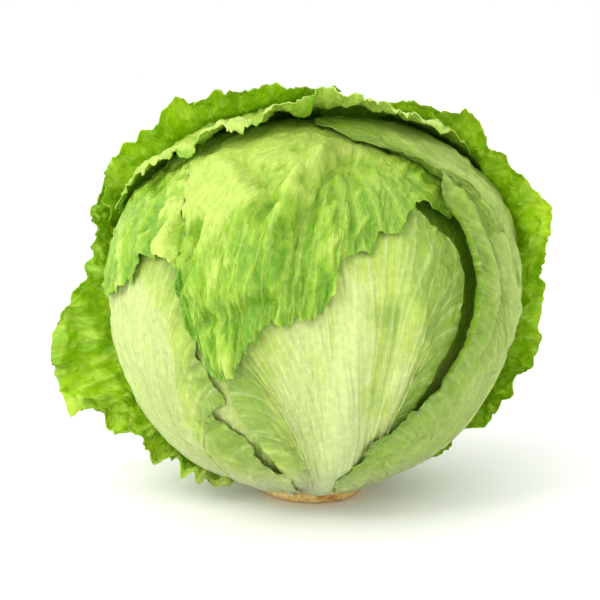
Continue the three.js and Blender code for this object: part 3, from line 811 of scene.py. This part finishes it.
capLeaf = {
    "name": "capLeaf", "node": "cap_leaf", "slot": "green_leaf", "finish": "greenLeaf", "seed": 5,
    "gap": 1.0, "approach": 7, "columns": 320, "rows": 150, "rib": (172, 150), "foot": (132, 208),
    "veins": 34, "veinRise": 0.3, "ribRise": 0,
    "focus": (9, 147),
    "crowd": [(0, 0.3), (0.15, 0.4), (0.25, 2.4), (0.78, 2.4), (0.86, 0.4), (1, 0.3)],
    "margin": [(130, 27), (122, 56), (112, 84), (92, 106), (64, 118), (44, 121), (36, 124), (28, 121), (25, 117),
               (18, 115), (15, 111.5), (7, 108.5), (5, 101), (0, 96), (-12, 93), (-18, 86), (-25, 79), (-30, 87),
               (-34, 96), (-35, 102), (-39, 107), (-45, 108), (-51, 107), (-54, 102), (-60, 98), (-73, 95),
               (-80, 106), (-100, 104), (-126, 88), (-144, 56), (-150, 27)],
    "paleTo": -78, "greenFrom": -14, "blisters": 0.5, "cell": 9,
    # strong painted shade in the crumple pockets and painted light on the raised creases
    "shadeAndToneByRelief": 0.42,
    "bulges": [(-24, 120, 34, 4.8), (2, 125, 12, 1.6), (-17, 111, 7, 3.6), (-22, 88, 6, 1.4), (11, 131, 5, -2.6)],
    # the greener spot at (-34, 112) in a fold's pocket is painted shade
    "toneAndShadeSpots": [(-46, 123, 16, -0.6), (-8, 140, 14, 0.25), (-62, 104, 9, -0.5), (-10, 106, 16, 0.5),
              (-34, 112, 5, 0.4), (20, 122, 14, 0.2)],
    "folds": [
        {"path": [(8, 148), (0, 136), (-6, 131), (-8, 123), (-10, 117), (-10, 108), (-7, 103)],
         "rise": 7.6, "width": 3.2},
        {"path": [(11, 140), (3, 129), (0, 124), (-3, 119), (-5, 113)], "rise": -7.4, "width": 3.2},
        {"path": [(-16, 121), (-22, 119), (-25, 115), (-27, 110), (-29, 106), (-31, 101)], "rise": 4.2, "width": 3.2},
        {"path": [(-34, 119), (-33, 107)], "rise": -6.2, "width": 2.6},
        {"path": [(-41, 119), (-37, 108)], "rise": -5.4, "width": 2.4},
        {"path": [(-54, 122), (-49, 114), (-45, 106)], "rise": -5.0, "width": 2.8},
        {"path": [(-62, 118), (-58, 108), (-56, 100)], "rise": -3.8, "width": 2.8},
        {"path": [(-29, 94), (-21, 95), (-15, 97), (-8, 98)], "rise": -4.2, "width": 2.8},
        {"path": [(-26, 98), (-15, 101), (-5, 103)], "rise": 1.6, "width": 3},
        {"path": [(-56, 109), (-45, 111), (-40, 110)], "rise": 2.4, "width": 2.6},
        {"path": [(-47, 106), (-43, 101)], "rise": -2.6, "width": 3},
        {"path": [(-53, 133), (-38, 137), (-30, 134), (-20, 125)], "rise": 3.6, "width": 3.6},
        {"path": [(-31, 138), (-16, 130), (-11, 122)], "rise": -4.0, "width": 3.2},
        {"path": [(-15, 105), (-14, 99)], "rise": 1.5, "width": 2.6},
        {"path": [(24, 140), (18, 128), (12, 118)], "rise": 1.2, "width": 4},
    ],
    "crumple": {"size": 9.5, "rise": 1.25, "pleat": 0.15, "from": 60, "to": 125},
    "teeth": {"lobe": 7, "lobeDepth": 2.2, "tooth": 3.6, "toothDepth": 1.6, "fade": 4},
    "frill": {"wave": 20, "rise": 1.5, "depth": 14,
              "where": [(0, 0), (0.2, 0), (0.28, 1), (0.72, 1), (0.8, 0), (1, 0)]},
}

rightLeaf = {
    "name": "rightLeaf", "node": "right_leaf", "slot": "wrapper_leaf", "finish": "wrapperLeaf", "seed": 9,
    "columns": 300, "rows": 150, "rib": (84, 85), "foot": (14, 128), "veins": 24, "veinRise": 0.5, "ribAt": 0.35,
    "crowd": [(0, 1.8), (0.5, 1.8), (0.6, 0.5), (1, 0.35)],
    "margin": [(14, 24), (10, 40), (18, 56, 20, 4), (26, 63, 40, 5), (33, 72, 55, 6), (37, 82, 70, 7),
               (41, 90, 80, 7), (43, 98, 90, 7), (43, 106, 90, 7), (42, 116, 80, 7), (39, 124, 60, 6),
               (44, 128, 40, 6), (46, 132, 20, 4), (42, 137), (36, 141), (28, 144), (20, 148), (12, 155), (0, 165),
               (130, 162), (128, 140), (128, 112), (132, 82), (134, 52), (130, 27)],
    "paleTo": -55, "greenFrom": 14, "blisters": 0.4, "curved": 0.9,
    "bulges": [(66, 106, 34, 3.4)],
    # the greener spots at (60, 116) and (61, 98) lie along a fold's hollow: painted shade
    "toneAndShadeSpots": [(60, 116, 8, 0.35), (61, 98, 6, 0.35), (48, 104, 7, 0.2), (60, 50, 24, -0.3)],
    "folds": [
        {"path": [(24, 150), (42, 138), (50, 122), (53, 105), (54, 88), (47, 70)], "rise": 2.6, "width": 3.0},
        {"path": [(32, 147), (48, 134), (58, 120), (60, 110)], "rise": -3.6, "width": 2.4},
        {"path": [(60, 118), (62, 100), (58, 86), (50, 78)], "rise": -4.2, "width": 2.2},
        {"path": [(58, 132), (68, 116), (70, 98), (64, 80)], "rise": 2.4, "width": 3.4},
        {"path": [(76, 130), (79, 104), (74, 76)], "rise": -1.6, "width": 3.5},
    ],
    "crumple": {"size": 9, "rise": 0.8, "pleat": 0.6},
    "teeth": {"lobe": 8, "lobeDepth": 1.3, "tooth": 4, "toothDepth": 0.9},
    "frill": {"wave": 30, "rise": 0.6, "depth": 10, "where": [(0, 0.3), (0.05, 1), (0.5, 1), (0.6, 0), (1, 0)]},
}

crownLeaf = {
    "name": "crownLeaf", "node": "crown_leaf", "slot": "green_leaf", "finish": "greenLeaf", "seed": 13,
    "columns": 320, "rows": 150, "rib": (178, 130), "foot": (128, 228), "veins": 28, "veinRise": 0.3, "ribRise": 0,
    "crowd": [(0, 0.3), (0.22, 0.4), (0.3, 2.2), (0.7, 2.2), (0.78, 0.4), (1, 0.3)],
    "margin": [(124, 27), (116, 56), (108, 90), (98, 122), (80, 138, 15, 8), (64, 144, 20, 8), (50, 146, 20, 8),
               (36, 150, 35, 10), (22, 154, 60, 10), (10, 157, 95, 12), (-2, 157, 80, 12), (-14, 152, 30, 10),
               (-28, 149, 20, 8), (-33, 143, 20, 8), (-46, 142, 25, 8), (-47, 135, 20, 8), (-58, 131, 20, 8),
               (-70, 126, 15, 8), (-86, 118, 15, 8), (-108, 106), (-126, 82), (-132, 54), (-130, 27)],
    "paleTo": -40, "greenFrom": 52, "blisters": 0.4, "curved": 0.75,
    "bulges": [(0, 180, 34, 4)],
    "folds": [
        {"path": [(-84, 124), (-66, 132), (-50, 140), (-36, 147), (-18, 153), (-4, 158)], "rise": 4.5, "width": 6},
        {"path": [(20, 157), (40, 152), (62, 146), (80, 140)], "rise": 4, "width": 6},
    ],
    "focus": (178, 120), "approach": 9,
    "crumple": {"size": 7.5, "rise": 1.2, "pleat": 0.25},
    "teeth": {"lobe": 8, "lobeDepth": 3.2, "tooth": 3.4, "toothDepth": 2.0, "fade": 5},
    "frill": {"wave": 24, "rise": 2.0, "depth": 14,
              "where": [(0, 0), (0.22, 0), (0.3, 1), (0.7, 1), (0.78, 0), (1, 0)]},
}

rightOuterLeaf = {
    "name": "rightOuterLeaf", "node": "right_outer_leaf", "slot": "outer_leaf", "finish": "outerLeaf",
    "shadeAndToneByRelief": 0.3, "seed": 17,
    "columns": 300, "rows": 140, "rib": (124, 85), "foot": (76, 176), "veins": 24, "veinRise": 0.5,
    "crowd": [(0, 1.8), (0.6, 1.8), (0.7, 0.4), (1, 0.3)],
    "margin": [(74, 27), (76, 42, 10, 8), (78, 56, 30, 14), (81, 68, 42, 17), (79, 78, 48, 22), (83, 86, 36, 14),
               (81, 96, 44, 18), (80, 108, 42, 17), (79, 120, 44, 20), (77, 133, 44, 18), (82, 147, 34, 14),
               (106, 156, 15, 10), (142, 148), (166, 124), (178, 90), (182, 54), (178, 27)],
    "paleTo": -70, "greenFrom": -4, "blisters": 1.3, "cell": 7,
    "crumple": {"size": 8, "rise": 0.9, "pleat": 0.5, "calm": 0.3},
    "teeth": {"lobe": 9, "lobeDepth": 3.2, "tooth": 5, "toothDepth": 2.8, "fade": 6},
    "frill": {"wave": 22, "rise": 3.2, "depth": 14,
              "where": [(0, 0), (0.08, 0.6), (0.15, 1), (0.65, 1), (0.78, 0.5), (1, 0)]},
}

backLeftLeaf = {
    "name": "backLeftLeaf", "node": "back_left_leaf", "slot": "outer_leaf", "finish": "outerLeaf",
    "shadeAndToneByRelief": 0.3, "seed": 19,
    "columns": 300, "rows": 140, "rib": (-142, 105), "foot": (-194, -98), "veins": 26, "veinRise": 0.5,
    "crowd": [(0, 0.3), (0.35, 0.5), (0.45, 1.8), (0.9, 1.8), (1, 1)],
    "margin": [(-198, 27), (-206, 54), (-206, 88), (-200, 118), (-190, 142), (-190, 160), (60, 172, 15, 8),
               (-32, 166, 35, 14), (-64, 154, 48, 17), (-78, 142, 52, 20), (-86, 132, 46, 17), (-91, 122, 50, 20),
               (-98, 108, 24, 11), (-104, 84), (-104, 54), (-98, 27)],
    "paleTo": -48, "greenFrom": 4, "blisters": 1.3, "cell": 7,
    "crumple": {"size": 8, "rise": 0.9, "pleat": 0.5, "calm": 0.3},
    "teeth": {"lobe": 8, "lobeDepth": 3.0, "tooth": 5, "toothDepth": 2.8, "fade": 6},
    "frill": {"wave": 20, "rise": 3.2, "depth": 14, "where": [(0, 0), (0.35, 0.3), (0.45, 1), (0.88, 1), (1, 0)]},
}

leftOuterLeaf = {
    "name": "leftOuterLeaf", "node": "left_outer_leaf", "slot": "outer_leaf", "finish": "outerLeaf",
    "shadeAndToneByRelief": 0.3, "seed": 23,
    "columns": 300, "rows": 145, "rib": (-114, 70), "foot": (-162, -74), "veins": 24, "ribAt": 0.6, "veinRise": 0.5,
    "crowd": [(0, 0.3), (0.25, 0.6), (0.4, 1.8), (1, 1.5)],
    "margin": [(-164, 24), (-170, 54), (-168, 84), (-156, 106), (-134, 120), (-112, 124, 15, 8), (-100, 118, 35, 14),
               (-93, 108, 42, 18), (-88, 98, 50, 21), (-84, 91, 64, 32), (-81, 84, 74, 39), (-79, 75, 74, 39),
               (-78, 68, 60, 28), (-77, 60, 48, 21), (-75, 52, 34, 14), (-71, 44, 30, 12), (-64, 36, 30, 11),
               (-58, 30, 20, 8), (-64, 24)],
    "paleTo": -42, "greenFrom": -2, "blisters": 1.5, "cell": 7,
    "crumple": {"size": 7.5, "rise": 1.7, "pleat": 0.5, "calm": 0.3},
    "teeth": {"lobe": 8, "lobeDepth": 3.4, "tooth": 5, "toothDepth": 2.8, "fade": 6},
    "frill": {"wave": 15, "rise": 4.6, "depth": 30, "where": [(0, 0), (0.25, 0.3), (0.4, 1), (0.92, 1), (1, 0)]},
}

backLeaf = {
    "name": "backLeaf", "node": "back_leaf", "slot": "outer_leaf", "finish": "outerLeaf", "seed": 29,
    "columns": 300, "rows": 150, "rib": (172, 80), "foot": (122, 222), "veins": 26, "ribWidth": 14, "ribRise": 2.4,
    "crowd": [(0, 0.5), (0.2, 1.6), (0.8, 1.6), (1, 0.5)], "veinRise": 0.5,
    "margin": [(118, 27), (112, 54), (112, 84, 15, 10), (122, 112, 30, 16), (146, 130, 35, 18), (174, 136, 35, 18),
               (202, 130, 35, 18), (224, 112, 30, 16), (232, 84, 15, 10), (230, 54), (226, 27)],
    "paleTo": -80, "greenFrom": -4, "blisters": 0.9, "cell": 8,
    "crumple": {"size": 9, "rise": 1.0, "pleat": 0.6, "calm": 0.3},
    "teeth": {"lobe": 9, "lobeDepth": 3.0, "tooth": 3.8, "toothDepth": 2.0, "fade": 6},
    "frill": {"wave": 20, "rise": 2.2, "depth": 13, "where": [(0, 0), (0.15, 1), (0.85, 1), (1, 0)]},
}

# from the inside out, each over those before it
for leaf in (innerLeaf, frontLeaf, leftLeaf, capLeaf, rightLeaf, crownLeaf,
             rightOuterLeaf, backLeftLeaf, leftOuterLeaf, backLeaf):
    makeLeaf(leaf)


# the closed inner head, a little under the leaves
heart = {"name": "heart", "segments": 160, "rings": 100, "sink": 4.5, "pucker": 0.6}

bpy.ops.object.select_all(action="DESELECT")
bpy.ops.mesh.primitive_uv_sphere_add(
    segments=heart["segments"], ring_count=heart["rings"], radius=1, location=(0, 0, 0))
heartPiece = bpy.context.object
heartPiece.name = heart["name"]
heartMesh = heartPiece.data
heartMesh.name = heart["name"]
d = np.empty(len(heartMesh.vertices) * 3, np.float32)
heartMesh.vertices.foreach_get("co", d)
d = d.reshape(-1, 3).astype(float)
d /= np.linalg.norm(d, axis=1)[:, None]
pucker = softNoise(azimuthOf(d) * np.sin(polarOf(d) * degree), polarOf(d), 12, 51)
size = headRadius(d) - heart["sink"] + heart["pucker"] * pucker
spot = d * size[:, None] + headCentre
spot[:, 2] = np.maximum(spot[:, 2], stemHigh[2] * 1000 - 4)
heartMesh.vertices.foreach_set("co", (spot * millimetre).astype(np.float32).ravel())
corners = np.empty(len(heartMesh.loops), np.int32)
heartMesh.loops.foreach_get("vertex_index", corners)
while heartMesh.uv_layers:
    heartMesh.uv_layers.remove(heartMesh.uv_layers[0])
flat = np.stack([azimuthOf(d) * 1.3, polarOf(d) * 1.3], -1)
for name in ("sheet", "fan"):
    heartMesh.uv_layers.new(name=name).data.foreach_set("uv", flat[corners].astype(np.float32).ravel())
skin = heartMesh.attributes.new("skin", "FLOAT_COLOR", "POINT")
tint = np.stack([smoothStep(60, 130, polarOf(d)), 0 * size, 0 * size, smoothStep(60, 20, polarOf(d))], -1)
skin.data.foreach_set("color", tint.astype(np.float32).ravel())
bpy.ops.object.shade_smooth()
heartMesh.materials.append(finishes["greenLeaf"])
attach(heartPiece, "root")
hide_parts("heart")
print("heart made")


stem = {
    "name": "cutStem", "sides": 96,
    # height above the floor and share of the stem's reach, from the middle of the cut up to the neck
    "outline": [(0.9, 0.0), (0.7, 0.35), (0.25, 0.72), (0.0, 0.86), (0.25, 0.93), (1.2, 0.99), (2.4, 1.05),
                (3.8, 1.09), (4.9, 1.09), (5.6, 1.02), (7.5, 0.93), (9.0, 0.8), (9.2, 0.0)],
    "waver": 0.55,
    "tan": (216, 172, 92), "paleTan": (240, 216, 146), "brown": (186, 126, 60), "neck": (222, 228, 178),
}

bpy.ops.object.select_all(action="DESELECT")
bpy.ops.mesh.primitive_circle_add(vertices=stem["sides"], radius=0.01, fill_type="NOTHING", location=(0, 0, 0))
stemPiece = bpy.context.object
stemPiece.name = stem["name"]
bpy.ops.object.mode_set(mode="EDIT")
bpy.ops.mesh.select_all(action="SELECT")
for ring in stem["outline"][2:-1]:
    bpy.ops.mesh.extrude_region_move(TRANSFORM_OT_translate={"value": (0, 0, 0.001)})
bpy.ops.mesh.select_all(action="SELECT")
bpy.ops.object.mode_set(mode="OBJECT")
stemMesh = stemPiece.data
stemMesh.name = stem["name"]
rings = len(stem["outline"]) - 2
co = np.empty(len(stemMesh.vertices) * 3, np.float32)
stemMesh.vertices.foreach_get("co", co)
co = co.reshape(-1, 3).astype(float)
ringOf = np.rint(co[:, 2] * 1000).astype(int)
angle = np.arctan2(co[:, 1], co[:, 0])
levels = np.array(stem["outline"])[1:-1]
height = levels[ringOf, 0]
share = levels[ringOf, 1]
waver = stem["waver"] * (softNoise(angle * 6, 0 * angle, 1.1, 61) + 0.6 * softNoise(angle * 17, height, 1.1, 62))
reachOut = stemReach * share + waver * smoothStep(0.5, 0.9, share)
lift = 0.5 * softNoise(angle * 9, 0 * angle + 4, 1.1, 63) * smoothStep(0.5, 3, height)
co = np.stack([np.cos(angle) * reachOut, np.sin(angle) * reachOut, height + lift], -1) * millimetre
stemMesh.vertices.foreach_set("co", co.astype(np.float32).ravel())
bpy.ops.object.mode_set(mode="EDIT")
for which in (0, rings - 1):
    bpy.ops.mesh.select_all(action="DESELECT")
    bpy.ops.object.mode_set(mode="OBJECT")
    for index in np.nonzero(ringOf == which)[0]:
        stemMesh.vertices[index].select = True
    bpy.ops.object.mode_set(mode="EDIT")
    bpy.ops.mesh.select_mode(type="VERT")
    bpy.ops.mesh.edge_face_add()
    bpy.ops.mesh.inset(thickness=0.003)
    bpy.ops.mesh.merge(type="CENTER")
bpy.ops.mesh.select_all(action="SELECT")
bpy.ops.mesh.normals_make_consistent(inside=False)
bpy.ops.object.mode_set(mode="OBJECT")
bpy.ops.object.shade_smooth()


def stemFinish():
    material = bpy.data.materials.new("cutStem")
    material.use_nodes = True
    tree = material.node_tree
    body = tree.nodes["Principled BSDF"]
    body.inputs["Specular IOR Level"].default_value = 0.25
    where = addNode(tree, "ShaderNodeTexCoord", (-1200, 0)).outputs["Object"]
    fibre = noiseOn(tree, (-800, 200), where, 1.0, stretch=(900, 900, 160), detail=5, roughness=0.65)
    patch = noiseOn(tree, (-800, -100), where, 130, detail=4)
    split = addNode(tree, "ShaderNodeSeparateXYZ", (-1000, -300))
    tree.links.new(where, split.inputs[0])
    wobble = mathsNode(tree, (-600, -300), "MULTIPLY_ADD", patch, 0.0035, split.outputs["Z"])
    up = easeBetween(tree, (-400, -300), wobble, 0.006, 0.008)
    fibreMask = easeBetween(tree, (-600, 200), fibre, 0.35, 0.65)
    patchMask = easeBetween(tree, (-400, 0), patch, 0.5, 0.68)
    tan = blendColours(tree, (-400, 200), fibreMask, paint(*stem["tan"]), paint(*stem["paleTan"]))
    brown = blendColours(tree, (-200, 100), patchMask, tan, paint(*stem["brown"]))
    colour = blendColours(tree, (0, 0), up, brown, paint(*stem["neck"]))
    tree.links.new(colour, body.inputs["Base Color"])
    body.inputs["Roughness"].default_value = 0.72
    bumpNode = addNode(tree, "ShaderNodeBump", (-200, -400))
    bumpNode.inputs["Strength"].default_value = 0.8
    bumpNode.inputs["Distance"].default_value = 0.0007
    tree.links.new(fibre, bumpNode.inputs["Height"])
    tree.links.new(bumpNode.outputs[0], body.inputs["Normal"])
    return material


stemMesh.materials.append(stemFinish())
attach(stemPiece, "root")
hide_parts("stem")
print("stem made,", len(stemMesh.polygons), "faces")


# floor, light and camera
studio = {
    "floorWidth": 6.0, "room": 1.2, "key": 1.38, "keySpread": 72, "keyFrom": (-1.05, -0.8, 0.95),
    "sheenPower": 3.5, "sheenWidth": 0.36, "sheenAt": (-0.7, -0.95, 1.0),
    "aim": (-0.005, 0, 0.077), "distance": 0.65, "elevation": 10, "lens": 100,
}

bpy.ops.object.select_all(action="DESELECT")
bpy.ops.mesh.primitive_plane_add(size=studio["floorWidth"], location=(0, 0, 0))
floor = bpy.context.object
floor.name = "floor"
floorMaterial = bpy.data.materials.new("floor")
floorMaterial.use_nodes = True
floorBody = floorMaterial.node_tree.nodes["Principled BSDF"]
floorBody.inputs["Base Color"].default_value = (0.93, 0.93, 0.93, 1)
floorBody.inputs["Roughness"].default_value = 0.6
floorBody.inputs["Specular IOR Level"].default_value = 0.15
floor.data.materials.append(floorMaterial)

world = bpy.data.worlds.new("studio")
bpy.context.scene.world = world
world.use_nodes = True
sky = world.node_tree
backdrop = sky.nodes["Background"]
backdrop.inputs["Color"].default_value = (1, 1, 1, 1)
backdrop.inputs["Strength"].default_value = 1
roomLight = addNode(sky, "ShaderNodeBackground", (0, -200))
roomLight.inputs["Color"].default_value = (1, 1, 1, 1)
roomLight.inputs["Strength"].default_value = studio["room"]
seen = addNode(sky, "ShaderNodeLightPath", (-200, 200))
choose = addNode(sky, "ShaderNodeMixShader", (200, 0))
sky.links.new(seen.outputs["Is Camera Ray"], choose.inputs[0])
sky.links.new(roomLight.outputs[0], choose.inputs[1])
sky.links.new(backdrop.outputs[0], choose.inputs[2])
sky.links.new(choose.outputs[0], sky.nodes["World Output"].inputs["Surface"])


# a broad overhead light from the upper left, as even over the floor as over the head
bpy.ops.object.light_add(type="SUN", location=(-0.6, -0.7, 1.2))
keyLight = bpy.context.object
keyLight.name = "keyLight"
keyLight.data.energy = studio["key"]
keyLight.data.angle = studio["keySpread"] * degree
keyLight.rotation_euler = Vector(studio["keyFrom"]).to_track_quat("Z", "Y").to_euler()

# a smaller lamp from the same side for the shine on the creases
bpy.ops.object.light_add(type="AREA", location=studio["sheenAt"])
sheenLight = bpy.context.object
sheenLight.name = "sheenLight"
sheenLight.data.shape = "DISK"
sheenLight.data.size = studio["sheenWidth"]
sheenLight.data.energy = studio["sheenPower"]
fromAim = Vector(studio["sheenAt"]) - Vector(studio["aim"])
sheenLight.rotation_euler = fromAim.to_track_quat("Z", "Y").to_euler()

bpy.ops.object.camera_add(location=(0, 0, 0))
camera = bpy.context.object
camera.data.lens = studio["lens"]
tilt = studio["elevation"] * degree
aim = Vector(studio["aim"])
camera.location = aim + Vector((0, -math.cos(tilt), math.sin(tilt))) * studio["distance"]
camera.rotation_euler = (aim - camera.location).to_track_quat("-Z", "Y").to_euler()
camera.data.clip_start = 0.01
bpy.context.scene.camera = camera
bpy.context.scene.view_settings.view_transform = "Standard"
print("studio set")
